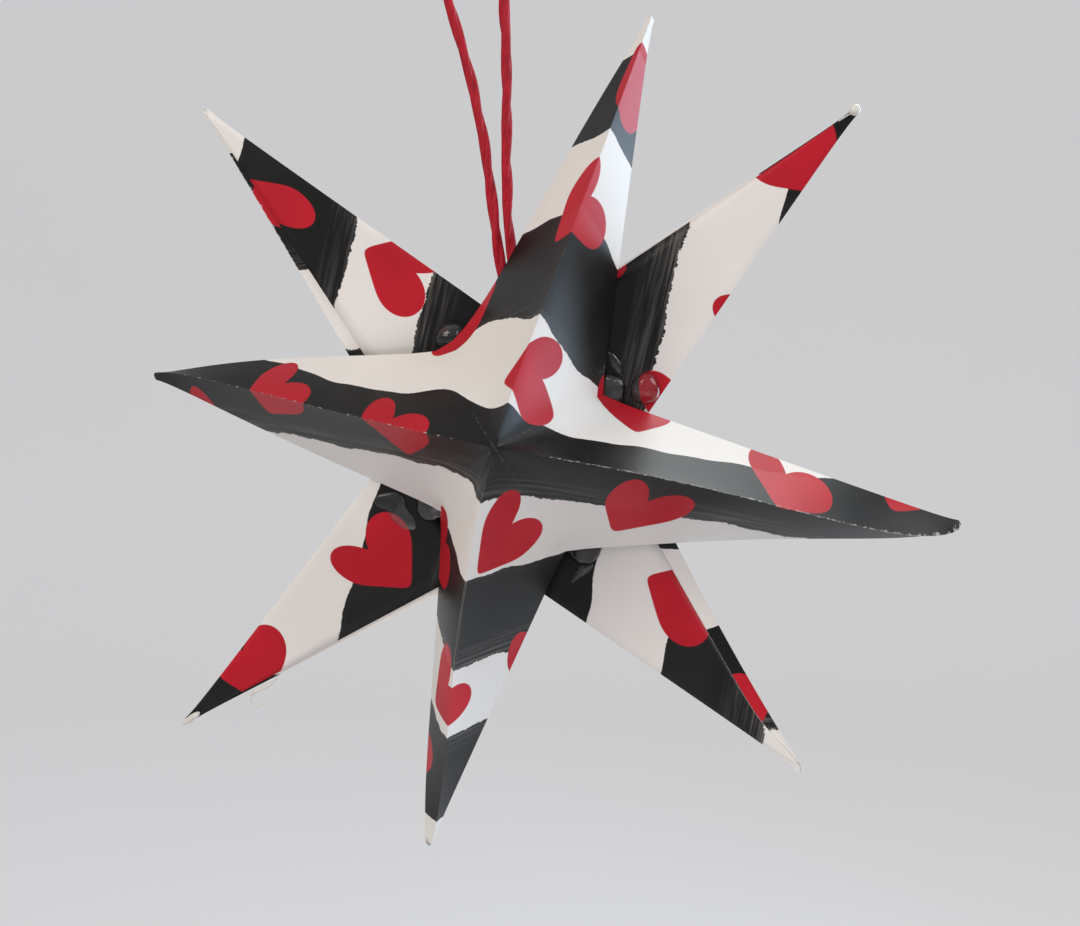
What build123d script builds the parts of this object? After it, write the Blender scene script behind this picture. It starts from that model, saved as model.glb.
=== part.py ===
"""Hanging star ornament: two four-pointed stars, each folded from one square of paper, glued back to
back with a loop of yarn between them.

Millimetres, +Z up, front towards -Y. The origin is where the loop hangs, under the yarn at its top.
"""

import os
from collections import namedtuple
from math import atan2, cos, degrees, hypot, pi, radians, sin, sqrt, tan

from build123d import *

# Sheet: a square of heavy printed paper, slit along its four middle lines towards the centre
sheet_side = 150.0
slit_length = 32.0
paper = 0.3

# Fold: each valley falls from the peak to the end of its slit at this slope (degrees), and each ridge
# bows out, which brings its two ends this much closer together (mm)
valley_slope = 54.5
ridge_bow = 1.1

# Place of the stars below the loop: across, and down to the axis of the back star
star_across = 9.0
star_drop = 120.0
front_shift_across = 2.2
front_shift_down = 0.5
half_gap = 1.8

# Hand of the maker, front star seen from its peak, anticlockwise from its right-hand point.
# Valleys turn and dip off their even places (degrees), and corners are cut long or short (per cent).
front_turn = -12.5
front_valley_turns = (0.5, -2.5, 1.0, 1.0)
front_valley_dips = (4.1, -3.3, 3.8, -0.5)
front_corner_trims = (0.0, 0.9, -5.2, -0.5)

# The same for the back star, seen from its own peak
back_turn = 48.0
back_valley_turns = (2.0, -3.5, 3.0, -1.0)
back_valley_dips = (-0.7, -1.6, -2.7, -0.7)
back_corner_trims = (3.8, 3.3, -3.3, 1.4)

# Glue: a round dab outside each valley end of the front star, standing on the back star and covering
# the valley's end, and one dab behind the top point of the front star, round the ends of the loop
dab_radius = 4.0
dab_outset = 1.0
dab_cover = 0.5
loop_dab_radius = 4.2
loop_dab_height = 3.6
loop_dab_up = 1.2
dab_rings = 4
top_point = 1

# Loop: one length of yarn, both ends in the glue behind the top point of the front star
yarn_diameter = 2.3

# Route of the yarn from its left-hand end, over the top and down to its right-hand end
loop_route = [
    (9.2, -0.3, -92.6),
    (6.55, -0.2, -75.6),
    (4.1, 0.1, -54.0),
    (0.0, 0.2, -36.0),
    (-4.6, 0.1, -21.8),
    (-7.9, 0.0, -11.5),
    (-7.73, 0.0, -3.38),
    (-3.2, 0.0, 1.15),
    (3.2, 0.0, 1.15),
    (7.73, 0.0, -3.38),
    (8.8, 0.0, -11.7),
    (8.05, 0.1, -23.0),
    (8.8, 0.2, -38.0),
    (8.6, 0.1, -55.0),
    (8.95, 0.0, -75.0),
    (11.8, -0.1, -92.6),
]

# A bend of the yarn takes up this share of the shorter run beside it, at each end
bend_share = 0.45

# A square gives four points, a quarter turn apart, with a valley halfway between two points
points = range(4)
quarter = 90
half_side = sheet_side / 2
centre_to_slit = half_side - slit_length

Fold = namedtuple("Fold", "axis peak valleys tips trims")


def corner_place(trim):
    """Place of a corner along both edges of the flat sheet, from its centre."""
    return half_side * (1 + trim / 100)


def fold_star(plane, turn, valley_turns, valley_dips, corner_trims):
    """Peak, valley ends and tips of a star folded about a plane's Z. Paper does not stretch, so each
    tip keeps its flat distances from the centre and from the two slits beside it."""
    peak = Vector(0, 0, centre_to_slit * sin(radians(valley_slope)))
    valleys = []
    for step in points:
        slope = radians(valley_slope + valley_dips[step])
        angle = radians(turn + quarter * (step + 0.5) + valley_turns[step])
        course = Vector(cos(slope) * cos(angle), cos(slope) * sin(angle), -sin(slope))
        valleys.append(peak + course * centre_to_slit)
    tips = []
    for step in points:
        corner = corner_place(corner_trims[step])
        ridge = corner * sqrt(2) - ridge_bow
        hinge = hypot(corner, corner - centre_to_slit)
        chord = valleys[step] - valleys[step - 1]
        middle = (valleys[step] + valleys[step - 1]) * 0.5
        down = middle - peak
        reach_squared = hinge**2 - (chord.length / 2) ** 2
        cosine = (ridge**2 + down.length**2 - reach_squared) / (2 * ridge * down.length)
        lift = chord.cross(down).normalized() * -1
        tips.append(peak + down.normalized() * ridge * cosine + lift * ridge * sqrt(1 - cosine**2))
    place = plane.from_local_coords
    return Fold(plane.z_dir, place(peak), [place(v) for v in valleys], [place(t) for t in tips], corner_trims)


def flap_plane(fold, step, offset):
    """Plane of a point's closed side, facing out of the star, moved out by an offset."""
    tip = fold.tips[step]
    along = fold.valleys[step] - tip
    normal = along.cross(fold.valleys[step - 1] - tip).normalized()
    if normal.dot(fold.axis) > 0:
        normal = normal * -1
    return Plane(origin=tip + normal * offset, x_dir=along, z_dir=normal)


def flap_corners(tip, hinge_end, far_end, trim, inset):
    """Corners of the flap between a slit and the sheet's edge, turned in about its hinge. The inset
    starts it that far inside the hinge."""
    corner = corner_place(trim)
    free_edge = hypot(corner, corner - half_side)
    angle = atan2(corner - centre_to_slit, corner) - atan2(corner - half_side, corner)
    along = (hinge_end - tip).normalized()
    to_far = far_end - tip
    across = (to_far - along * to_far.dot(along)).normalized()
    width = free_edge * sin(angle)
    free_corner = tip + along * free_edge * cos(angle) + across * width
    share = inset / width
    return tip + (free_corner - tip) * share, hinge_end + (free_corner - hinge_end) * share, free_corner


def paper_piece(corners, thickness, direction, mode=Mode.ADD):
    """Flat piece through its corners, thickened in one direction."""
    side = corners[1] - corners[0]
    plane = Plane(origin=corners[0], x_dir=side, z_dir=side.cross(corners[2] - corners[0]))
    with BuildSketch(plane) as outline:
        with BuildLine():
            Polyline([plane.to_local_coords(corner) for corner in corners], close=True)
        make_face()
    extrude(outline.sketch, amount=thickness, dir=direction, mode=mode)


# Thickness of the walls along the star's axis, from the slope of an even star's walls
no_change = [0 for step in points]
even = fold_star(Plane.XY, 0, no_change, no_change, no_change)
even_wall = (even.tips[0] - even.peak).cross(even.valleys[0] - even.peak).normalized()
wall_drop = paper / abs(even_wall.Z)


def build_star(fold):
    """One folded sheet: eight walls round the peak and, behind each point, two flaps."""
    inwards = fold.axis * -1
    for step in points:
        for valley in (fold.valleys[step - 1], fold.valleys[step]):
            paper_piece((fold.peak, fold.tips[step], valley), wall_drop, inwards)
    for step in points:
        closed_side = flap_plane(fold, step, 0)
        depth = (closed_side.origin - fold.peak).dot(closed_side.z_dir) / fold.axis.dot(closed_side.z_dir)
        foot = fold.peak + fold.axis * depth
        below = (fold.tips[step], fold.valleys[step - 1], foot, fold.valleys[step])
        paper_piece(below, 2 * wall_drop, inwards, Mode.SUBTRACT)
    for step in points:
        tip, trim = fold.tips[step], fold.trims[step]
        before, after = fold.valleys[step - 1], fold.valleys[step]
        out = flap_plane(fold, step, 0).z_dir
        paper_piece(flap_corners(tip, before, after, trim, paper), paper, out * -1)
        paper_piece(flap_corners(tip, after, before, trim, 0), paper, out)


# The stars stand upright, their closed sides facing each other
front_centre = (star_across + front_shift_across, -half_gap, -star_drop - front_shift_down)
front_plane = Plane(origin=front_centre, x_dir=(1, 0, 0), z_dir=(0, -1, 0))
front_fold = fold_star(front_plane, front_turn, front_valley_turns, front_valley_dips, front_corner_trims)
back_plane = Plane(origin=(star_across, half_gap, -star_drop), x_dir=(-1, 0, 0), z_dir=(0, 1, 0))
back_fold = fold_star(back_plane, back_turn, back_valley_turns, back_valley_dips, back_corner_trims)

with BuildPart() as front_star:
    build_star(front_fold)

with BuildPart() as back_star:
    build_star(back_fold)


def dab(seat, radius, cover_at, cover):
    """Round dome of glue on a plane, as high as its cover at a distance from its middle, in rings."""
    centre = (cover_at**2 + cover**2 - radius**2) / (2 * cover)
    ball = hypot(radius, centre)
    with BuildSketch(Plane(origin=seat.origin, x_dir=seat.x_dir, z_dir=seat.y_dir * -1)) as half:
        with BuildLine():
            start = degrees(atan2(-centre, radius))
            rise = CenterArc((0, centre), ball, start, quarter - start, mode=Mode.PRIVATE)
            Polyline([(0, 0)] + [rise @ (ring / dab_rings) for ring in range(dab_rings + 1)], close=True)
        make_face()
    revolve(half.sketch, axis=Axis(seat.origin, seat.z_dir))


with BuildPart() as glue_dabs:
    for valley in front_fold.valleys:
        under = min(points, key=lambda step: (back_fold.tips[step] - valley).length)
        flap_face = flap_plane(back_fold, under, paper)
        across = valley - front_plane.origin
        outwards = (across - front_fold.axis * across.dot(front_fold.axis)).normalized()
        foot = flap_face.to_local_coords(valley + outwards * dab_outset)
        gap = flap_face.to_local_coords(valley).Z
        seat = Plane(flap_face.from_local_coords((foot.X, foot.Y)), flap_face.x_dir, flap_face.z_dir)
        dab(seat, dab_radius, dab_outset, gap + dab_cover)
    add(front_star.part, mode=Mode.SUBTRACT)

# Each bend of the yarn is as wide as its two runs allow
steps = [Vector(b) - Vector(a) for a, b in zip(loop_route, loop_route[1:])]
turns = [radians(a.get_angle(b)) for a, b in zip(steps, steps[1:])]
loop_radii = [bend_share * min(a.length, b.length) / tan(t / 2) for a, b, t in zip(steps, steps[1:], turns)]

with BuildPart() as hanging_loop:
    with BuildLine() as loop_path:
        FilletPolyline(loop_route, radius=loop_radii)
    with BuildSketch(Plane(origin=loop_route[0], z_dir=steps[0])) as yarn_section:
        Circle(yarn_diameter / 2)
    sweep(yarn_section.sketch, path=loop_path.wires()[0])

with BuildPart() as loop_glue:
    flap_face = flap_plane(front_fold, top_point, paper)
    over = (Vector(loop_route[0]) + Vector(loop_route[-1])) * 0.5 + Vector(0, 0, loop_dab_up)
    foot = flap_face.to_local_coords(over)
    seat = Plane(flap_face.from_local_coords((foot.X, foot.Y)), flap_face.x_dir, flap_face.z_dir)
    dab(seat, loop_dab_radius, 0, loop_dab_height)
    add(hanging_loop.part, mode=Mode.SUBTRACT)
    add(back_star.part, mode=Mode.SUBTRACT)

loop_length = loop_path.wires()[0].length
loop_volume = loop_length * pi * yarn_diameter**2 / 4
print("loop radii", [round(radius, 1) for radius in loop_radii])
print("loop length", round(loop_length, 1))
print("loop volume", round(hanging_loop.part.volume, 1), "of", round(loop_volume, 1))

pieces = {
    "front_star": front_star,
    "back_star": back_star,
    "glue_dabs": glue_dabs,
    "loop_glue": loop_glue,
    "hanging_loop": hanging_loop,
}
os.makedirs("parts", exist_ok=True)
for name, piece in pieces.items():
    piece.part.label = name
    export_step(piece.part, f"parts/{name}.step")
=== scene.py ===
"""Dressed scene of a hanging paper star: two printed squares of paper, each slit and folded into a
four-pointed star, glued back to back with a loop of red yarn between them.

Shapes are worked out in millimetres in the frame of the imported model, and turned into metres when a mesh
is made.
"""

import logging
import math
from dataclasses import dataclass, field
from enum import Enum

import bpy
import numpy as np
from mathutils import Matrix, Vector


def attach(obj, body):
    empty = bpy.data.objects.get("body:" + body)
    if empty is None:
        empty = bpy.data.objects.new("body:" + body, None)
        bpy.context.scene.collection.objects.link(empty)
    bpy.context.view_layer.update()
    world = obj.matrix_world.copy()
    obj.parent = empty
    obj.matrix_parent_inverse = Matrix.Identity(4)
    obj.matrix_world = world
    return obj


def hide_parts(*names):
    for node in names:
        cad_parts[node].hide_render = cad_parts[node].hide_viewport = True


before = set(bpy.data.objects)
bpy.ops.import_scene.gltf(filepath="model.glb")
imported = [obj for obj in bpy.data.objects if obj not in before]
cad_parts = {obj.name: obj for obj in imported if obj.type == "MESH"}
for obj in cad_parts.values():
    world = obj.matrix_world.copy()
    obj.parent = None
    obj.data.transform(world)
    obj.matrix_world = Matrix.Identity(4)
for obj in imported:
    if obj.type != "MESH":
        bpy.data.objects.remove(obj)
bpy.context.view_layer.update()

MM = 0.001
BODY = "root"

# The flat sheet's half side, the way from its centre to a slit, the paper's thickness, the span of the
# sheet's map, and a distance that stands for no fold near (mm)
HALF_SIDE = 75.0
CENTRE_TO_SLIT = 43.0
PAPER = 0.3
UV_SPAN = 240.0
NO_FOLD = 50.0

# A number that counts as nothing, and the direction from front to back
TINY = 1e-6
AWAY = np.array([0.0, 1.0, 0.0])

log = logging.getLogger("star")

Pair = tuple[float, float]
Point = tuple[float, float, float]
Colour = tuple[float, float, float, float]
Socket = bpy.types.NodeSocket
Finish = bpy.types.Material
Piece = bpy.types.Object


class StripeCourse(Enum):
    """Which diagonal of the sheet the printed stripes run along."""

    FIRST_DIAGONAL = 0
    SECOND_DIAGONAL = 1


class Lap(Enum):
    """How a flap lies on its point's closed side."""

    OVER = 0
    UNDER = 1


def unit(vectors: np.ndarray) -> np.ndarray:
    """Scales vectors on the last axis to length one."""
    return vectors / np.maximum(np.linalg.norm(vectors, axis=-1, keepdims=True), TINY)


def smooth_step(values: np.ndarray, low: float, high: float) -> np.ndarray:
    """Cubic step from 0 at low to 1 at high."""
    share = np.clip((values - low) / (high - low), 0.0, 1.0)
    return share * share * (3.0 - 2.0 * share)


def hump(share: np.ndarray, crest: float, sharpness: float) -> np.ndarray:
    """Hump that is 0 at both ends of a length and 1 at its crest.

    The formula is (x/c)^(n c) times ((1-x)/(1-c))^(n (1-c)), for a crest at c.

    Args:
        share: Places along the length, 0 to 1.
        crest: Where the hump is highest.
        sharpness: The exponent n.

    Returns:
        The hump's height at each place.
    """
    share = np.clip(share, 0.0, 1.0)
    rise = (share / crest) ** (sharpness * crest)
    return rise * ((1.0 - share) / (1.0 - crest)) ** (sharpness * (1.0 - crest))


def smooth_max(first: np.ndarray, second: np.ndarray, reach: float) -> np.ndarray:
    """The greater of two values, with a rounded step between them, as the Math node does it."""
    near = np.maximum(reach - np.abs(first - second), 0.0) / reach
    return np.maximum(first, second) + near**3 * reach / 6.0


def grid_faces(rows: int, columns: int, around: bool = False) -> np.ndarray:
    """Quads of a grid of points, row after row.

    Args:
        rows: Number of rows of points.
        columns: Number of points in a row.
        around: Whether each row closes on itself.

    Returns:
        Corner indices, four to a quad.
    """
    first = np.arange(columns if around else columns - 1)
    follow = (first + 1) % columns
    start = np.arange(rows - 1)[:, None] * columns
    corners = [start + first, start + columns + first, start + columns + follow, start + follow]
    return np.stack(corners, axis=2).reshape(-1, 4)


def tube_faces(rows: int, columns: int) -> list[np.ndarray]:
    """Faces of a closed tube of rings.

    Args:
        rows: Number of rings.
        columns: Number of points in a ring.

    Returns:
        The quads round it, and the caps at its two ends.
    """
    cap = np.arange(columns)
    walls = grid_faces(rows, columns, around=True)[:, ::-1]
    return [walls, np.stack([cap[::-1], cap + (rows - 1) * columns])]


def mesh_object(name: str, points: np.ndarray, faces: list[np.ndarray]) -> Piece:
    """Makes a mesh object at the origin from points in millimetres.

    Args:
        name: Name of the object and of its mesh.
        points: Points, one row each.
        faces: Arrays of faces, each with as many columns as its faces have corners.

    Returns:
        The linked object.
    """
    mesh = bpy.data.meshes.new(name)
    corners = [face for part in faces for face in part.tolist()]
    mesh.from_pydata((np.asarray(points) * MM).tolist(), [], corners)
    mesh.update()
    piece = bpy.data.objects.new(name, mesh)
    bpy.context.scene.collection.objects.link(piece)
    return piece


def shade(piece: Piece, crease: float) -> None:
    """Shades a piece smooth, apart from edges that turn by more than a crease angle in degrees."""
    piece.data.polygons.foreach_set("use_smooth", [True] * len(piece.data.polygons))
    piece.data.set_sharp_from_angle(angle=math.radians(crease))


def smooth_path(corners: np.ndarray, rounds: int = 4) -> np.ndarray:
    """Path through the quarter points of its corners' runs, cut again and again, with its ends kept."""
    path = corners
    for _ in range(rounds):
        near, far = 0.75 * path[:-1] + 0.25 * path[1:], 0.25 * path[:-1] + 0.75 * path[1:]
        cut = np.stack([near, far], axis=1).reshape(-1, path.shape[1])
        path = np.concatenate([path[:1], cut, path[-1:]])
    return path


def lengths(path: np.ndarray) -> np.ndarray:
    """Length along a path at each of its points."""
    return np.concatenate([[0.0], np.cumsum(np.linalg.norm(np.diff(path, axis=0), axis=1))])


def square_to(path: np.ndarray) -> tuple[np.ndarray, np.ndarray]:
    """Two directions square to a path at each of its points, and to each other."""
    course = unit(np.gradient(path, axis=0))
    side = unit(np.cross(course, AWAY))
    return side, np.cross(course, side)


def spokes(turn: np.ndarray, side: np.ndarray, other: np.ndarray) -> np.ndarray:
    """Directions at a turn from one side towards the other: cos(turn) side + sin(turn) other."""
    return np.cos(turn)[..., None] * side + np.sin(turn)[..., None] * other


class NodeTree:
    """Shorthand for a material's nodes."""

    def __init__(self, name: str) -> None:
        """Starts an empty node material of that name, with a principled shader."""
        self.material = bpy.data.materials.new(name)
        self.material.use_nodes = True
        self.tree = self.material.node_tree
        self.tree.nodes.clear()
        output = self.tree.nodes.new("ShaderNodeOutputMaterial")
        self.shader = self.tree.nodes.new("ShaderNodeBsdfPrincipled")
        self.link(self.shader.outputs[0], output.inputs["Surface"])

    def link(self, source: Socket, target: Socket) -> None:
        """Joins two sockets."""
        self.tree.links.new(source, target)

    def put(self, value: object, socket: Socket) -> None:
        """Gives a socket another node's output or a plain value."""
        if isinstance(value, Socket):
            self.link(value, socket)
        else:
            socket.default_value = value

    def node(self, kind: str, **settings: object) -> bpy.types.Node:
        """Adds a node and sets its properties."""
        made = self.tree.nodes.new(kind)
        for key, value in settings.items():
            setattr(made, key, value)
        return made

    def maths(self, operation: str, *values: object, clamp: bool = False) -> Socket:
        """Adds a Math node on values or sockets and gives its output."""
        made = self.node("ShaderNodeMath", operation=operation, use_clamp=clamp)
        for value, socket in zip(values, made.inputs):
            self.put(value, socket)
        return made.outputs[0]

    def ramp(
        self, value: object, low: float, high: float, start: float = 0.0, end: float = 1.0
    ) -> Socket:
        """Maps a value smoothly from low..high to start..end."""
        made = self.node("ShaderNodeMapRange", interpolation_type="SMOOTHSTEP")
        for entry, socket in zip((value, low, high, start, end), made.inputs):
            self.put(entry, socket)
        return made.outputs[0]

    def mix(self, share: object, first: object, second: object) -> Socket:
        """Mixes two colours by a share, on the Mix node's sockets for colours."""
        made = self.node("ShaderNodeMix", data_type="RGBA")
        for value, socket in zip((share, first, second), (0, 6, 7)):
            self.put(value, made.inputs[socket])
        return made.outputs[2]

    def place(self) -> Socket:
        """The piece's own coordinates."""
        return self.node("ShaderNodeTexCoord").outputs["Object"]

    def attribute(self, name: str) -> list[Socket]:
        """The three numbers of a vector attribute."""
        source = self.node("ShaderNodeAttribute", attribute_name=name)
        parts = self.node("ShaderNodeSeparateXYZ")
        self.link(source.outputs["Vector"], parts.inputs[0])
        return list(parts.outputs)

    def stretched(self, vector: Socket, scale: Point) -> Socket:
        """A vector scaled along its axes."""
        made = self.node("ShaderNodeMapping", vector_type="POINT")
        self.link(vector, made.inputs["Vector"])
        made.inputs["Scale"].default_value = scale
        return made.outputs[0]

    def noise(self, vector: Socket, scale: float, detail: float, rough: float = 0.55) -> Socket:
        """Noise around 0.5 on a vector."""
        made = self.node("ShaderNodeTexNoise")
        self.link(vector, made.inputs["Vector"])
        made.inputs["Scale"].default_value = scale
        made.inputs["Detail"].default_value = detail
        made.inputs["Roughness"].default_value = rough
        return made.outputs["Fac"]

    def bump(self, height: Socket, distance: float, strength: float) -> None:
        """Puts a height times a distance in metres on the shader's normal."""
        made = self.node("ShaderNodeBump")
        made.inputs["Strength"].default_value = strength
        made.inputs["Distance"].default_value = distance
        self.link(height, made.inputs["Height"])
        self.link(made.outputs[0], self.shader.inputs["Normal"])

    def set(self, name: str, value: object) -> None:
        """Sets a socket of the shader."""
        self.put(value, self.shader.inputs[name])


@dataclass(frozen=True)
class Stripe:
    """A black stripe: its two edges across the sheet (mm), and how dry the brush was at each (0 to 1)."""

    low: float
    high: float
    low_dry: float
    high_dry: float


@dataclass(frozen=True)
class Drift:
    """A place where the hand led the stripes astray: its middle, its spread, and how far (mm)."""

    middle: Pair
    spread: Pair
    shift: float

    def measure(self, sheet: np.ndarray) -> np.ndarray:
        """Shift at places on the sheet, a bell round the middle."""
        gap = (sheet - np.array(self.middle)) / np.array(self.spread)
        return self.shift * np.exp(-np.sum(gap * gap, axis=-1))


@dataclass(frozen=True)
class HeartLobe:
    """One half of the heart: an egg that narrows towards the point, to a least share (mm, degrees)."""

    centre: Pair
    turn: float
    reach: float
    width: float
    taper: float
    least: float = 0.2

    def measure(self, places: np.ndarray) -> np.ndarray:
        """Square of the distance from the egg's centre, as a share of the way to its edge."""
        angle = math.radians(self.turn)
        gap = places - np.array(self.centre)
        ahead = (gap[..., 0] * math.cos(angle) + gap[..., 1] * math.sin(angle)) / self.reach
        aside = (gap[..., 1] * math.cos(angle) - gap[..., 0] * math.sin(angle)) / self.width
        return ahead**2 + (aside / np.maximum(1.0 + self.taper * ahead, self.least)) ** 2


@dataclass(frozen=True)
class HeartShape:
    """The stencil of every heart: two eggs, cut to a rounded point by two straight sides (mm)."""

    lobes: tuple[HeartLobe, HeartLobe] = (
        HeartLobe((-2.9, 10.0), 106.0, 10.3, 4.25, 0.16),
        HeartLobe((3.95, 8.45), 61.5, 9.7, 5.15, 0.30),
    )
    side_slopes: Pair = (0.78, -1.40)
    side_scale: float = 6.0
    side_round: float = 4.0
    join_round: float = 0.5
    edge: float = 0.03

    def measure(self, places: np.ndarray) -> np.ndarray:
        """Below 1 inside the heart."""
        eggs = np.minimum(*[lobe.measure(places) for lobe in self.lobes])
        sides = smooth_max(*[slope * places[..., 0] for slope in self.side_slopes], self.side_round)
        return smooth_max(eggs, 1.0 + (sides - places[..., 1]) / self.side_scale, self.join_round)

    def mask(self, nodes: NodeTree) -> Socket:
        """The same measure as nodes on the heart attribute, turned into 1 inside and 0 outside.

        Args:
            nodes: The material being made.

        Returns:
            The mask.
        """
        right, upward, _ = nodes.attribute("heart")
        eggs = []
        for lobe in self.lobes:
            angle = math.radians(lobe.turn)
            dx = nodes.maths("SUBTRACT", right, lobe.centre[0])
            dy = nodes.maths("SUBTRACT", upward, lobe.centre[1])
            ahead = nodes.maths("MULTIPLY", dx, math.cos(angle) / lobe.reach)
            ahead = nodes.maths("MULTIPLY_ADD", dy, math.sin(angle) / lobe.reach, ahead)
            aside = nodes.maths("MULTIPLY", dy, math.cos(angle) / lobe.width)
            aside = nodes.maths("MULTIPLY_ADD", dx, -math.sin(angle) / lobe.width, aside)
            narrow = nodes.maths("MULTIPLY_ADD", ahead, lobe.taper, 1.0)
            aside = nodes.maths("DIVIDE", aside, nodes.maths("MAXIMUM", narrow, lobe.least))
            square = nodes.maths("MULTIPLY", ahead, ahead)
            eggs.append(nodes.maths("MULTIPLY_ADD", aside, aside, square))
        sides = [nodes.maths("MULTIPLY", right, slope) for slope in self.side_slopes]
        below = nodes.maths("SUBTRACT", nodes.maths("SMOOTH_MAX", *sides, self.side_round), upward)
        cut = nodes.maths("MULTIPLY_ADD", below, 1.0 / self.side_scale, 1.0)
        nearest = nodes.maths("SMOOTH_MAX", nodes.maths("MINIMUM", *eggs), cut, self.join_round)
        return nodes.ramp(nearest, 1.0 + self.edge, 1.0 - self.edge)


HEART_SHAPE = HeartShape()


@dataclass(frozen=True)
class Heart:
    """A printed heart: the place of its point on the sheet (mm), where its cleft lies, and its size."""

    across: float
    along: float
    up: float
    size: float = 0.98

    def local(self, sheet: np.ndarray) -> np.ndarray:
        """Places on the sheet, turned and moved so that the point is at 0 and the cleft straight up."""
        turn = math.radians(self.up - 90.0)
        gap = (sheet - np.array([self.across, self.along])) / self.size
        right = np.array([math.cos(turn), math.sin(turn)])
        upward = np.array([-math.sin(turn), math.cos(turn)])
        return np.stack([gap @ right, gap @ upward], axis=-1)


@dataclass(frozen=True)
class SheetPrint:
    """Print of one sheet: brushed black stripes along a diagonal, and scattered red hearts.

    Each wave of the stripes has a height, a length (mm) and a phase.
    """

    course: StripeCourse
    stripes: tuple[Stripe, ...]
    drifts: tuple[Drift, ...]
    hearts: tuple[Heart, ...]
    waves: tuple[tuple[float, float, float], ...] = (
        (0.3, 61.0, 0.4),
        (0.3, 23.0, 1.9),
        (0.2, 11.0, 4.0),
    )

    def stripe_field(self, sheet: np.ndarray) -> np.ndarray:
        """Signed distance to the nearest stripe edge, and the dryness of the brush there.

        The distance is the greatest over the stripes of min(w - low, high - w), so it is above zero in
        the black. w is the place across the stripes, with sine waves along them and the drifts added.

        Args:
            sheet: Places on the flat sheet, two columns.

        Returns:
            Two columns: distance and dryness.
        """
        across = sheet[:, 1 - self.course.value]
        along = sheet[:, self.course.value]
        swing = sum(
            high * np.sin(math.tau * along / length + start) for high, length, start in self.waves
        )
        place = across + swing + sum(drift.measure(sheet) for drift in self.drifts)
        edges = np.array([[stripe.low, stripe.high] for stripe in self.stripes])
        dryness = np.array([[stripe.low_dry, stripe.high_dry] for stripe in self.stripes]).ravel()
        inside = np.minimum(place[:, None] - edges[None, :, 0], edges[None, :, 1] - place[:, None])
        nearest = np.abs(place[:, None] - edges.ravel()[None, :]).argmin(axis=1)
        return np.stack([inside.max(axis=1), dryness[nearest]], axis=1)

    def heart_field(self, corners: np.ndarray, owner: np.ndarray) -> np.ndarray:
        """For each corner of each face, its place in the heart that is nearest to that face.

        Args:
            corners: Places of the face corners on the flat sheet.
            owner: Number of the face that each corner belongs to.

        Returns:
            Two columns: right and up.
        """
        count = np.bincount(owner)
        middles = np.stack([np.bincount(owner, corners[:, axis]) / count for axis in (0, 1)], axis=1)
        measures = np.array([HEART_SHAPE.measure(heart.local(middles)) for heart in self.hearts])
        chosen = measures.argmin(axis=0)[owner]
        places = np.stack([heart.local(corners) for heart in self.hearts])
        return places[chosen, np.arange(len(corners))]


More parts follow.
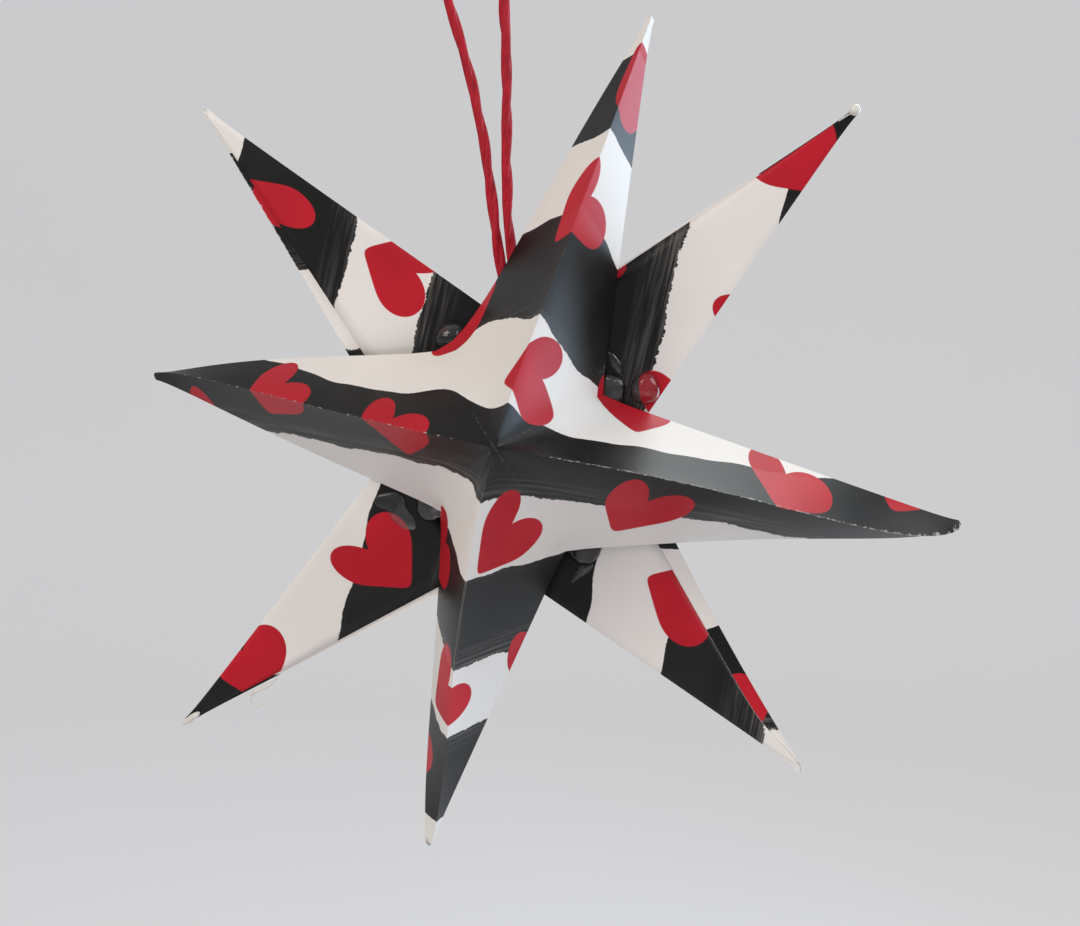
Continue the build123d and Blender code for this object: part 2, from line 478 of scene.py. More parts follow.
@dataclass(frozen=True)
class PrintedPaper:
    """Satin printed side of the paper: cream white, brushed black stripes, red hearts, scuffed folds.

    A scale is along and across the brush's way. A depth is what a dry brush adds, and the least of it
    (mm). A wear is the widest bare line along a fold (mm), and how bare it is; along the ridges that
    line is also a painted highlight.
    """

    name: str = "printed_paper"
    white: Colour = (0.80, 0.775, 0.735, 1.0)
    shaded_white: Colour = (0.77, 0.745, 0.705, 1.0)
    black: Colour = (0.0060, 0.0058, 0.0056, 1.0)
    thin_black: Colour = (0.014, 0.0134, 0.0128, 1.0)
    dry_black: Colour = (0.17, 0.162, 0.152, 1.0)
    red: Colour = (0.50, 0.010, 0.022, 1.0)
    deep_red: Colour = (0.42, 0.008, 0.018, 1.0)
    fibre_and_highlight: Colour = (0.62, 0.60, 0.57, 1.0)
    streak_scale: Pair = (9.0, 300.0)
    tooth_scale: Pair = (120.0, 45.0)
    tooth_depth: Pair = (4.2, 0.35)
    speck_depth: Pair = (1.2, 0.12)
    streak_depth: Pair = (16.0, 0.4)
    streak_range: Pair = (0.42, 0.66)
    streak_strength: float = 1.35
    ink_edge: float = 0.08
    # Along the ridges the bare line is also a painted highlight
    ridge_wear_and_highlight: Pair = (0.46, 0.66)
    valley_wear: Pair = (0.20, 0.16)
    hinge_wear: Pair = (0.45, 0.6)
    scuff_range: Pair = (0.42, 0.68)
    bare_edge: Pair = (-0.03, 0.16)
    paper_rough: float = 0.50
    ink_rough: float = 0.40
    cloud_rough: float = 0.14
    worn_rough: float = 0.4
    cloud_height: float = 3.0
    worn_height: float = 0.8

    def ink(self, nodes: NodeTree, flat: Socket, course: StripeCourse) -> tuple[Socket, Socket]:
        """Where the black ink lies, and how thin it is.

        The stripe's edge is its distance plus bristle noise as deep as the brush was dry. Long streaks
        thin the ink near a dry edge.

        Args:
            nodes: The material being made.
            flat: The sheet's own map.
            course: The diagonal that the stripes and the brush marks follow.

        Returns:
            The masks of ink and of thin ink.
        """
        order = -1 if course is StripeCourse.SECOND_DIAGONAL else 1
        scales = (self.streak_scale, self.tooth_scale)
        streak_way, tooth_way = ((*scale[::order], 1.0) for scale in scales)
        streaks = nodes.noise(nodes.stretched(flat, streak_way), 1.0, detail=4.0, rough=0.65)
        teeth = nodes.noise(nodes.stretched(flat, tooth_way), 1.0, detail=5.0, rough=0.72)
        specks = nodes.noise(flat, 620.0, detail=2.0)
        distance, dryness, _ = nodes.attribute("stripe")
        edge = distance
        for bristle, depth in ((teeth, self.tooth_depth), (specks, self.speck_depth)):
            reach = nodes.maths("MULTIPLY_ADD", dryness, *depth)
            edge = nodes.maths("MULTIPLY_ADD", nodes.maths("SUBTRACT", bristle, 0.5), reach, edge)
        ink = nodes.ramp(edge, -self.ink_edge, self.ink_edge)
        zone = nodes.maths("DIVIDE", distance, nodes.maths("MULTIPLY_ADD", dryness, *self.streak_depth))
        zone = nodes.maths("SUBTRACT", 1.0, zone, clamp=True)
        thin = nodes.maths("MULTIPLY", nodes.ramp(streaks, *self.streak_range), zone)
        strength = nodes.maths("MULTIPLY", dryness, self.streak_strength, clamp=True)
        return ink, nodes.maths("MULTIPLY", thin, strength, clamp=True)

    def wear(self, nodes: NodeTree, flat: Socket) -> Socket:
        """How far the ink is rubbed off along ridges, valleys near the peak, and hinges, with a painted
        highlight along the ridges.

        Args:
            nodes: The material being made.
            flat: The sheet's own map.

        Returns:
            The share of bare paper fibres, and of painted highlight along the ridges.
        """
        scuff = nodes.noise(flat, 150.0, detail=5.0, rough=0.75)
        wears = (self.ridge_wear_and_highlight, self.valley_wear, self.hinge_wear)
        # The ridges' light line is partly scuffed print and partly a painted highlight
        wear_and_highlight = 0.0
        for gap, (widest, share) in zip(nodes.attribute("fold"), wears):
            width = nodes.ramp(scuff, *self.scuff_range, end=widest)
            bare = nodes.ramp(nodes.maths("SUBTRACT", width, gap), *self.bare_edge)
            bare = nodes.maths("MULTIPLY", bare, share)
            wear_and_highlight = nodes.maths("MAXIMUM", bare, wear_and_highlight)
        return wear_and_highlight

    def material(self, course: StripeCourse) -> Finish:
        """Makes the material for a sheet whose stripes run along a diagonal.

        Args:
            course: The diagonal that the stripes follow.

        Returns:
            The material.
        """
        nodes = NodeTree(f"{self.name}_{course.name.lower()}")
        flat = nodes.node("ShaderNodeUVMap", uv_map="sheet").outputs[0]
        cloud = nodes.noise(flat, 9.0, detail=2.0)
        grain = nodes.noise(flat, 460.0, detail=3.0)
        ink, thin = self.ink(nodes, flat, course)
        wear_and_highlight = self.wear(nodes, flat)
        black = nodes.mix(nodes.ramp(cloud, 0.40, 0.72), self.black, self.thin_black)
        black = nodes.mix(thin, black, self.dry_black)
        white = nodes.mix(nodes.ramp(cloud, 0.3, 0.7), self.white, self.shaded_white)
        red = nodes.mix(nodes.ramp(cloud, 0.35, 0.65), self.red, self.deep_red)
        colour = nodes.mix(ink, white, black)
        colour = nodes.mix(HEART_SHAPE.mask(nodes), colour, red)
        # Bare paper along the folds, with a painted highlight along the ridges
        colour = nodes.mix(wear_and_highlight, colour, self.fibre_and_highlight)
        nodes.set("Base Color", colour)
        rough = nodes.ramp(ink, 0.0, 1.0, start=self.paper_rough, end=self.ink_rough)
        rough = nodes.maths("MULTIPLY_ADD", nodes.maths("SUBTRACT", cloud, 0.5), self.cloud_rough, rough)
        nodes.set("Roughness", nodes.maths("MULTIPLY_ADD", wear_and_highlight, self.worn_rough, rough, clamp=True))
        nodes.set("Specular IOR Level", 0.25)
        height = nodes.maths("MULTIPLY_ADD", cloud, self.cloud_height, grain)
        height = nodes.maths("MULTIPLY_ADD", wear_and_highlight, self.worn_height, height)
        nodes.bump(height, distance=0.00003, strength=0.7)
        return nodes.material


@dataclass(frozen=True)
class PlainPaper:
    """Unprinted inside and cut edges of the paper."""

    name: str = "plain_paper"
    colour: Colour = (0.82, 0.80, 0.765, 1.0)
    shaded: Colour = (0.74, 0.72, 0.68, 1.0)

    def material(self) -> Finish:
        """Makes a matt white with fine fibres."""
        nodes = NodeTree(self.name)
        upright = nodes.stretched(nodes.place(), (1.0, 1.0, 1.6))
        fibres = nodes.noise(upright, 900.0, detail=4.0, rough=0.7)
        nodes.set("Base Color", nodes.mix(nodes.ramp(fibres, 0.35, 0.7), self.colour, self.shaded))
        nodes.set("Roughness", nodes.ramp(fibres, 0.3, 0.7, start=0.68, end=0.82))
        nodes.bump(fibres, distance=0.00004, strength=0.8)
        return nodes.material


@dataclass(frozen=True)
class Glue:
    """Hot glue: glossy, clear or milky, with fine ripples."""

    name: str
    colour: Colour
    shaded: Colour
    clearness: float

    def material(self) -> Finish:
        """Makes the see-through gloss."""
        nodes = NodeTree(self.name)
        ripple = nodes.noise(nodes.place(), 420.0, detail=2.0)
        nodes.set("Base Color", nodes.mix(nodes.ramp(ripple, 0.3, 0.7), self.colour, self.shaded))
        nodes.set("Roughness", nodes.ramp(ripple, 0.3, 0.75, start=0.05, end=0.16))
        nodes.set("IOR", 1.48)
        nodes.set("Transmission Weight", self.clearness)
        nodes.bump(ripple, distance=0.00014, strength=0.8)
        return nodes.material


CLEAR_GLUE = Glue("clear_glue", (0.98, 0.975, 0.96, 1.0), (0.95, 0.94, 0.91, 1.0), 1.0)
MILKY_GLUE = Glue("milky_glue", (0.86, 0.84, 0.78, 1.0), (0.78, 0.75, 0.68, 1.0), 0.15)


@dataclass(frozen=True)
class RedYarn:
    """Crimson cotton yarn: fine fibres along each ply, with a soft sheen."""

    name: str = "red_yarn"
    red: Colour = (0.46, 0.006, 0.020, 1.0)
    deep: Colour = (0.19, 0.002, 0.008, 1.0)
    bright: Colour = (0.60, 0.022, 0.040, 1.0)

    def material(self) -> Finish:
        """Makes the fibre streaks from the strand's own map: u along it and v round it."""
        nodes = NodeTree(self.name)
        strand = nodes.node("ShaderNodeUVMap", uv_map="strand").outputs[0]
        fibres = nodes.noise(nodes.stretched(strand, (30.0, 20.0, 1.0)), 1.0, detail=4.0, rough=0.65)
        tone = nodes.noise(nodes.stretched(strand, (9.0, 1.5, 1.0)), 1.0, detail=2.0)
        colour = nodes.mix(nodes.ramp(fibres, 0.30, 0.56), self.deep, self.red)
        colour = nodes.mix(nodes.ramp(fibres, 0.58, 0.76, end=0.7), colour, self.bright)
        colour = nodes.mix(nodes.ramp(tone, 0.42, 0.72, end=0.45), colour, self.deep)
        nodes.set("Base Color", colour)
        nodes.set("Roughness", nodes.ramp(fibres, 0.3, 0.7, start=0.78, end=0.58))
        nodes.set("Specular IOR Level", 0.3)
        nodes.set("Sheen Weight", 0.18)
        nodes.set("Sheen Roughness", 0.4)
        nodes.set("Sheen Tint", (1.0, 0.35, 0.38, 1.0))
        nodes.bump(fibres, distance=0.00016, strength=0.8)
        return nodes.material


@dataclass(frozen=True)
class PaleFloor:
    """Plain studio floor and its sweep, paler to the camera than its light alone makes it."""

    name: str = "pale_floor"
    colour: Colour = (0.36, 0.36, 0.365, 1.0)
    mottled: Colour = (0.38, 0.38, 0.375, 1.0)
    seen_colour: Colour = (0.47, 0.47, 0.475, 1.0)

    def material(self) -> Finish:
        """Makes a matt pale grey with a faint mottle."""
        nodes = NodeTree(self.name)
        mottle = nodes.noise(nodes.place(), 5.0, detail=2.0)
        nodes.set("Base Color", nodes.mix(mottle, self.colour, self.mottled))
        nodes.set("Roughness", 0.9)
        nodes.set("Specular IOR Level", 0.1)
        path = nodes.node("ShaderNodeLightPath").outputs
        seen = nodes.maths("MAXIMUM", path["Is Camera Ray"], path["Is Transmission Ray"])
        seen = nodes.maths("MAXIMUM", seen, path["Is Glossy Ray"])
        nodes.set("Emission Color", self.seen_colour)
        nodes.set("Emission Strength", seen)
        return nodes.material


@dataclass(frozen=True)
class Bow:
    """Bow of a folded edge: its move at the crest (mm), the crest's share of the way, its sharpness."""

    move: Point = (0.0, 0.0, 0.0)
    crest: float = 0.6
    sharpness: float = 3.0

    def measure(self, tip_share: np.ndarray) -> np.ndarray:
        """Move at each share of the way to the tip."""
        return hump(tip_share, self.crest, self.sharpness)[:, None] * np.array(self.move)


@dataclass(frozen=True)
class StarPoint:
    """One point of a star: its tip, how its corner of the sheet was cut, how it bows and how it is worn.

    The trim is how much further out its corner lies than an even one (per cent). The reach is how far
    from the sheet's centre the free corner of its outer flap lies, and the inset how far that flap's
    edge is cut back from the line to the tip (mm). A wear is from 0, sound, to 1, scuffed; on the ridge it
    also sets the painted highlight.
    """

    tip: Point
    trim: float
    reach: float = HALF_SIDE
    ridge: tuple[Bow, ...] = (Bow(),)
    over_hinge: Bow = Bow()
    under_hinge: Bow = Bow()
    inset: float = 0.0
    # How scuffed the ridge is, which also sets its painted highlight
    ridge_wear_and_highlight: float = 0.6
    over_wear: float = 0.1
    under_wear: float = 0.1


@dataclass
class FoldedStar:
    """One square of paper, slit from the middle of each side and folded into a four-pointed star.

    Points go round the star from its own peak side. Valley k lies between tips k and k + 1. On the flat
    sheet tip k lies at k quarter turns, and valley k halfway to the next. Lengths are in millimetres.
    """

    name: str
    node: str
    peak: Point
    valleys: tuple[Point, ...]
    points: tuple[StarPoint, ...]
    sheet_print: SheetPrint

    # Soft walls: valleys that narrow to the peak and fade at the slit, bulges, and a pressed peak
    valley_width: float = 7.5
    valley_narrowing: float = 0.4
    slit_fade: float = 0.75
    slit_fade_start: float = 0.75
    wall_bulge: float = 0.5
    wall_hollow: float = 0.3
    peak_round: float = 1.5
    peak_press: float = 0.8

    # Blunt tips: length of the nose, its rounding, and the least depth that is told apart from the tip
    nose: float = 3.5
    nose_round: float = 0.6
    nose_end: float = 0.001

    # Flaps: how far they keep inside the point and off its folds, and their lift in thicknesses of paper
    over_tuck: float = 0.3
    under_tuck: float = 0.9
    over_clear: float = 0.1
    under_clear: float = 0.5
    inset_growth: float = 50.0
    first_gap: float = 0.45
    over_lift: float = 1.05
    under_lift: float = -0.2
    lift_gap: float = 0.8

    # Wear and the ridges' painted highlight: how far off a sound fold seems, where ridges start to wear,
    # and where valleys stop
    sound_gap: float = 0.5
    ridge_start: Pair = (0.02, 0.14)
    valley_stop: Pair = (0.3, 0.7)
    sound_valley_gap: float = 30.0

    # Grid: its steps, and how they crowd towards the tip and the folds
    rows: int = 56
    hinge_steps: int = 36
    flap_steps: int = 13
    row_crowding: float = 1.15
    hinge_crowding: float = 1.35
    flap_crowding: float = 1.4
    parts: list[tuple[np.ndarray, ...]] = field(default_factory=list)

    def axis(self) -> np.ndarray:
        """Direction from the star's foot to its peak."""
        return unit(np.array(self.peak) - np.mean(np.array(self.valleys), axis=0))

    def hinge_places(self) -> np.ndarray:
        """Shares of the way from tip to valley, closer near the tip."""
        return np.linspace(0.0, 1.0, self.hinge_steps) ** self.hinge_crowding

    def flat_tip(self, step: int) -> np.ndarray:
        """Place of a tip on the flat sheet."""
        turn = math.radians(90.0 * step)
        reach = HALF_SIDE * math.sqrt(2.0) * (1.0 + self.points[step].trim / 100.0)
        return reach * np.array([math.cos(turn), math.sin(turn)])

    def flat_valley(self, step: int, reach: float) -> np.ndarray:
        """Place on the flat sheet along a slit's line, at a distance from the centre."""
        turn = math.radians(90.0 * step + 45.0)
        return reach * np.array([math.cos(turn), math.sin(turn)])

    def wall_normal(self, step: int, valley: int) -> np.ndarray:
        """Outward normal of the flat wall between a tip's ridge and a valley."""
        peak, tip = np.array(self.peak), np.array(self.points[step].tip)
        normal = unit(np.cross(tip - peak, np.array(self.valleys[valley]) - peak))
        return normal * np.sign(normal @ self.axis())

    def closed_side(self, step: int) -> np.ndarray:
        """Normal of a point's closed side, facing out of the star."""
        tip = np.array(self.points[step].tip)
        before, after = np.array(self.valleys[step - 1]), np.array(self.valleys[step])
        normal = unit(np.cross(after - tip, before - tip))
        return normal * -np.sign(normal @ self.axis())

    def soft_valley(self, valley: int, places: np.ndarray) -> tuple[np.ndarray, np.ndarray]:
        """Lift that turns a sharp valley into a soft one.

        With a slope m on both sides and a width X, the lift is m X / 2 (1 - x / X)^2 at x from the
        valley, which meets the walls and is level in the middle. It narrows towards the peak and fades
        at the slit.

        Args:
            valley: The valley's number.
            places: Places on the sharp star.

        Returns:
            A move for each place, and its distance from the valley.
        """
        first, second = self.wall_normal(valley, valley), self.wall_normal((valley + 1) % 4, valley)
        middle = unit(first + second)
        slope = math.tan(math.acos(min(1.0, float(first @ middle))))
        peak, end = np.array(self.peak), np.array(self.valleys[valley])
        offset, length = places - peak, float(np.linalg.norm(end - peak))
        share = np.clip(offset @ unit(end - peak) / length, 0.0, 1.0)
        gap = np.linalg.norm(offset - share[:, None] * (end - peak), axis=1)
        narrowed = self.valley_narrowing * np.linalg.norm(offset, axis=1)
        width = np.minimum(self.valley_width, narrowed) + TINY
        lift = slope * width / 2.0 * np.clip(1.0 - gap / width, 0.0, 1.0) ** 2
        lift *= 1.0 - self.slit_fade * smooth_step(share, self.slit_fade_start, 1.0)
        return lift[:, None] * middle, gap

    def blunted(self, step: int, places: np.ndarray) -> np.ndarray:
        """Rounds the end of a point into a nose.

        At a depth d from the tip, the offset from the point's axis grows by sqrt(1 + (n / d)^2) for a
        nose of length n, and within a rounding r by sqrt(1 - (1 - d / r)^2).

        Args:
            step: The point's number.
            places: Places on the point.

        Returns:
            The moved places.
        """
        tip = np.array(self.points[step].tip)
        along = unit(np.array(self.valleys[step]) + np.array(self.valleys[step - 1]) - 2 * tip)
        gap = places - tip
        depth = gap @ along
        deep = np.maximum(depth, self.nose_end)
        growth = np.hypot(1.0, self.nose / deep)
        growth *= np.sqrt(1.0 - (1.0 - np.clip(deep / self.nose_round, 0.0, 1.0)) ** 2)
        spine = depth[:, None] * along
        return tip + spine + (gap - spine) * growth[:, None]

    def wall(self, step: int, valley: int) -> None:
        """Adds a wall, the fan of lines from the peak to the hinge between a tip and a valley.

        With u from the peak to the hinge and v from the ridge to the valley, a place has the shares
        a = 1 - u of the peak, b = u (1 - v) of the tip and c = u v of the valley. To it are added the
        ridge's and the hinge's bow at b, in the shares a / (a + c) and c / (a + c), the soft valley, the
        pressed peak and a slight bulge or hollow of 16 u (1 - u) v (1 - v), which is 1 in the middle.

        Args:
            step: The point's number.
            valley: The valley's number.
        """
        point = self.points[step]
        ray = 1.0 - np.linspace(1, 0, self.rows) ** self.row_crowding
        grid = np.meshgrid(ray, self.hinge_places(), indexing="ij")
        u, v = (part.ravel() for part in grid)
        peak, tip, end = np.array(self.peak), np.array(point.tip), np.array(self.valleys[valley])
        a, b, c = 1.0 - u, u * (1.0 - v), u * v
        places = a[:, None] * peak + b[:, None] * tip + c[:, None] * end
        flat = b[:, None] * self.flat_tip(step) + c[:, None] * self.flat_valley(valley, CENTRE_TO_SLIT)
        over = valley == step
        hinge_bow = point.over_hinge if over else point.under_hinge
        soft, valley_gap = self.soft_valley(valley, places)
        moved = places + soft
        lean = (a / np.maximum(a + c, TINY))[:, None]
        moved += sum(bow.measure(b) for bow in point.ridge) * lean + hinge_bow.measure(b) * (1.0 - lean)
        away = np.linalg.norm(flat, axis=1)
        moved -= self.peak_press * (np.hypot(away, self.peak_round) - away)[:, None] * self.axis()
        bulge = self.wall_bulge if (step + valley) % 2 else -self.wall_hollow
        normal = self.wall_normal(step, valley)
        moved += (16.0 * u * a * v * (1.0 - v) * bulge)[:, None] * normal
        ridge_gap = np.linalg.norm(np.cross(places - peak, unit(tip - peak)), axis=1)
        hinge_gap = np.linalg.norm(np.cross(places - tip, unit(end - tip)), axis=1)
        hinge_wear = point.over_wear if over else point.under_wear
        # The ridge's distance also places a painted highlight along it, beside its scuffed print
        fold = np.stack([
            ridge_gap + self.sound_gap * (1.0 - point.ridge_wear_and_highlight * smooth_step(u, *self.ridge_start)),
            valley_gap + self.sound_valley_gap * smooth_step(u, *self.valley_stop),
            hinge_gap + self.sound_gap * (1.0 - hinge_wear),
        ], axis=1)
        faces = grid_faces(self.rows, self.hinge_steps)
        if np.cross(tip - peak, end - peak) @ normal < 0:
            faces = faces[:, ::-1]
        moved += self.blunted(step, places) - places
        self.parts.append((moved, flat, fold, np.zeros(len(u)), faces))

    def flap(self, step: int, valley: int, lap: Lap) -> None:
        """Adds a flap, the corner of the sheet between a slit and a side, turned in about its hinge.

        With u from the tip to the slit and v from the hinge to the sheet's side, a place is
        tip + u ((1 - v) (valley - tip) + v (free corner - tip)), lifted by the paper that it laps over.
        The hinge's bow and soft end fade as (1 - v)^2. A flap wider than its point is tucked in at its
        edge. The first places off the hinge, and the edge, keep clear of the folds by set distances, and
        the inset grows from the tip as 1 - exp(-g u^2).

        Args:
            step: The point's number.
            valley: The valley that the flap is hinged at.
            lap: Whether it lies over or under the other flap.
        """
        point = self.points[step]
        column = np.linspace(-1.0 / (self.flap_steps - 2), 1.0, self.flap_steps)
        u, column = (part.ravel() for part in np.meshgrid(self.hinge_places(), column, indexing="ij"))
        far = np.array(self.valleys[step - 1 if valley == step else step])
        tip, end = np.array(point.tip), np.array(self.valleys[valley])
        flat_tip, flat_end = self.flat_tip(step), self.flat_valley(valley, CENTRE_TO_SLIT)
        flat_free = self.flat_valley(valley, point.reach if lap is Lap.OVER else HALF_SIDE)
        flat_hinge = unit(flat_end - flat_tip)
        reach = float((flat_free - flat_tip) @ flat_hinge)
        width = float(np.linalg.norm(flat_free - flat_tip - reach * flat_hinge))
        hinge = unit(end - tip)
        inward = unit((far - tip) - ((far - tip) @ hinge) * hinge)
        scale = np.linalg.norm(end - tip) / np.linalg.norm(flat_end - flat_tip)
        over = lap is Lap.OVER
        own_bow, far_bow = (point.over_hinge, point.under_hinge)[:: 1 if over else -1]
        room = reach * scale * ((far - tip) @ inward) / ((far - tip) @ hinge)
        tuck = (self.over_tuck if over else self.under_tuck) + float(np.linalg.norm(far_bow.move))
        width = min(width, room - tuck)
        inset = point.inset * (1.0 - np.exp(-self.inset_growth * u**2))
        span = np.maximum(u * width - (self.over_clear + inset if over else self.under_clear), 0.0)
        first = np.minimum(self.first_gap, span)
        hinge_gap = first + (span - first) * np.clip(column, 0.0, 1.0) ** self.flap_crowding
        hinge_gap[column < -TINY] = 0.0
        v = hinge_gap / np.maximum(u * width, TINY)
        free = tip + reach * scale * hinge + width * inward
        end_share, free_share = (u * (1.0 - v))[:, None], (u * v)[:, None]
        places = tip + end_share * (end - tip) + free_share * (free - tip)
        flat = flat_tip + end_share * (flat_end - flat_tip) + free_share * (flat_free - flat_tip)
        normal = self.closed_side(step)
        lift = (self.over_lift if over else self.under_lift) * PAPER
        lift = lift * smooth_step(hinge_gap, 0.0, self.lift_gap)
        soft, _ = self.soft_valley(valley, tip + u[:, None] * (end - tip))
        moved = places + lift[:, None] * normal
        moved += (own_bow.measure(1.0 - u) + soft) * ((1.0 - v) ** 2)[:, None]
        moved += self.blunted(step, places) - places
        hinge_wear = point.over_wear if over else point.under_wear
        unfolded = np.full_like(u, NO_FOLD)
        fold = np.stack([unfolded, unfolded, hinge_gap + self.sound_gap * (1.0 - hinge_wear)], axis=1)
        faces = grid_faces(self.hinge_steps, self.flap_steps)
        if np.cross(end - tip, free - tip) @ normal < 0:
            faces = faces[:, ::-1]
        own = np.where(hinge_gap > TINY, step + 1.0, 0.0)
        self.parts.append((moved, flat, fold, own, faces))

    def joined(self) -> tuple[np.ndarray, np.ndarray, np.ndarray, list[np.ndarray]]:
        """Joins the walls and flaps where they share a place on the flat sheet.

        Flaps on the two sides of a slit share places there but not each other's points, so each flap's
        own number is part of what is compared. Places are compared by the thousandth of a millimetre,
        with a nudge that keeps round numbers away from the step between two thousandths.

        Returns:
            Points, their places on the flat sheet, their distances from folds, and triangles and quads.
        """
        first = np.cumsum([0] + [len(part[0]) for part in self.parts])[:-1]
        places, flat, fold, own = (np.concatenate([part[i] for part in self.parts]) for i in range(4))
        faces = np.concatenate([part[4] + start for part, start in zip(self.parts, first)])
        nudge, thousandths = 0.000137, 1000.0
        key = np.column_stack([np.round((flat + nudge) * thousandths), own])
        _, kept, merged = np.unique(key, axis=0, return_index=True, return_inverse=True)
        merged = merged.ravel()
        nearest = np.full((len(kept), 3), np.inf)
        np.minimum.at(nearest, merged, fold)
        faces = merged[faces]
        twice = faces == np.roll(faces, -1, axis=1)
        once = twice.sum(axis=1) == 1
        triangles = faces[once][~twice[once]].reshape(-1, 3)
        return places[kept], flat[kept], nearest, [triangles, faces[~twice.any(axis=1)]]

    def build(self, printed: Finish, plain: Finish) -> Piece:
        """Makes the star, with its print, its thickness and its finishes.

        Args:
            printed: Finish of the outside.
            plain: Finish of the inside and the cut edges.

        Returns:
            The star.
        """
        for step in range(4):
            for valley, lap in ((step, Lap.OVER), ((step - 1) % 4, Lap.UNDER)):
                self.wall(step, valley)
                self.flap(step, valley, lap)
        places, flat, fold, faces = self.joined()
        star = mesh_object(self.name, places, faces)
        mesh = star.data
        corner = np.concatenate([part.ravel() for part in faces])
        corner_counts = np.repeat([part.shape[1] for part in faces], [len(part) for part in faces])
        owner = np.repeat(np.arange(len(corner_counts)), corner_counts)
        sheet_map = mesh.uv_layers.new(name="sheet")
        sheet_map.data.foreach_set("uv", (flat[corner] / UV_SPAN + 0.5).astype(np.float32).ravel())
        for key, domain, values in (
            ("stripe", "POINT", self.sheet_print.stripe_field(flat)),
            ("fold", "POINT", fold),
            ("heart", "CORNER", self.sheet_print.heart_field(flat[corner], owner)),
        ):
            vectors = np.zeros((len(values), 3), np.float32)
            vectors[:, : values.shape[1]] = values
            layer = mesh.attributes.new(key, "FLOAT_VECTOR", domain)
            layer.data.foreach_set("vector", vectors.ravel())
        shade(star, crease=28.0)
        thick = star.modifiers.new("thickness", "SOLIDIFY")
        thick.thickness = PAPER * MM
        thick.offset = -1.0
        thick.thickness_clamp = 1.0
        thick.material_offset = 1
        thick.material_offset_rim = 1
        mesh.materials.append(printed)
        mesh.materials.append(plain)
        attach(star, BODY)
        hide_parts(self.node)
        return star


@dataclass(frozen=True)
class Wave:
    """Unevenness along the yarn: height, length by the radian (mm), and shift from ply to ply."""

    height: float
    length: float
    shift: float

    def measure(self, run: np.ndarray, number: int) -> np.ndarray:
        """The wave of a ply along its run: height sin(run / length + shift number)."""
        return self.height * np.sin(run / self.length + self.shift * number)


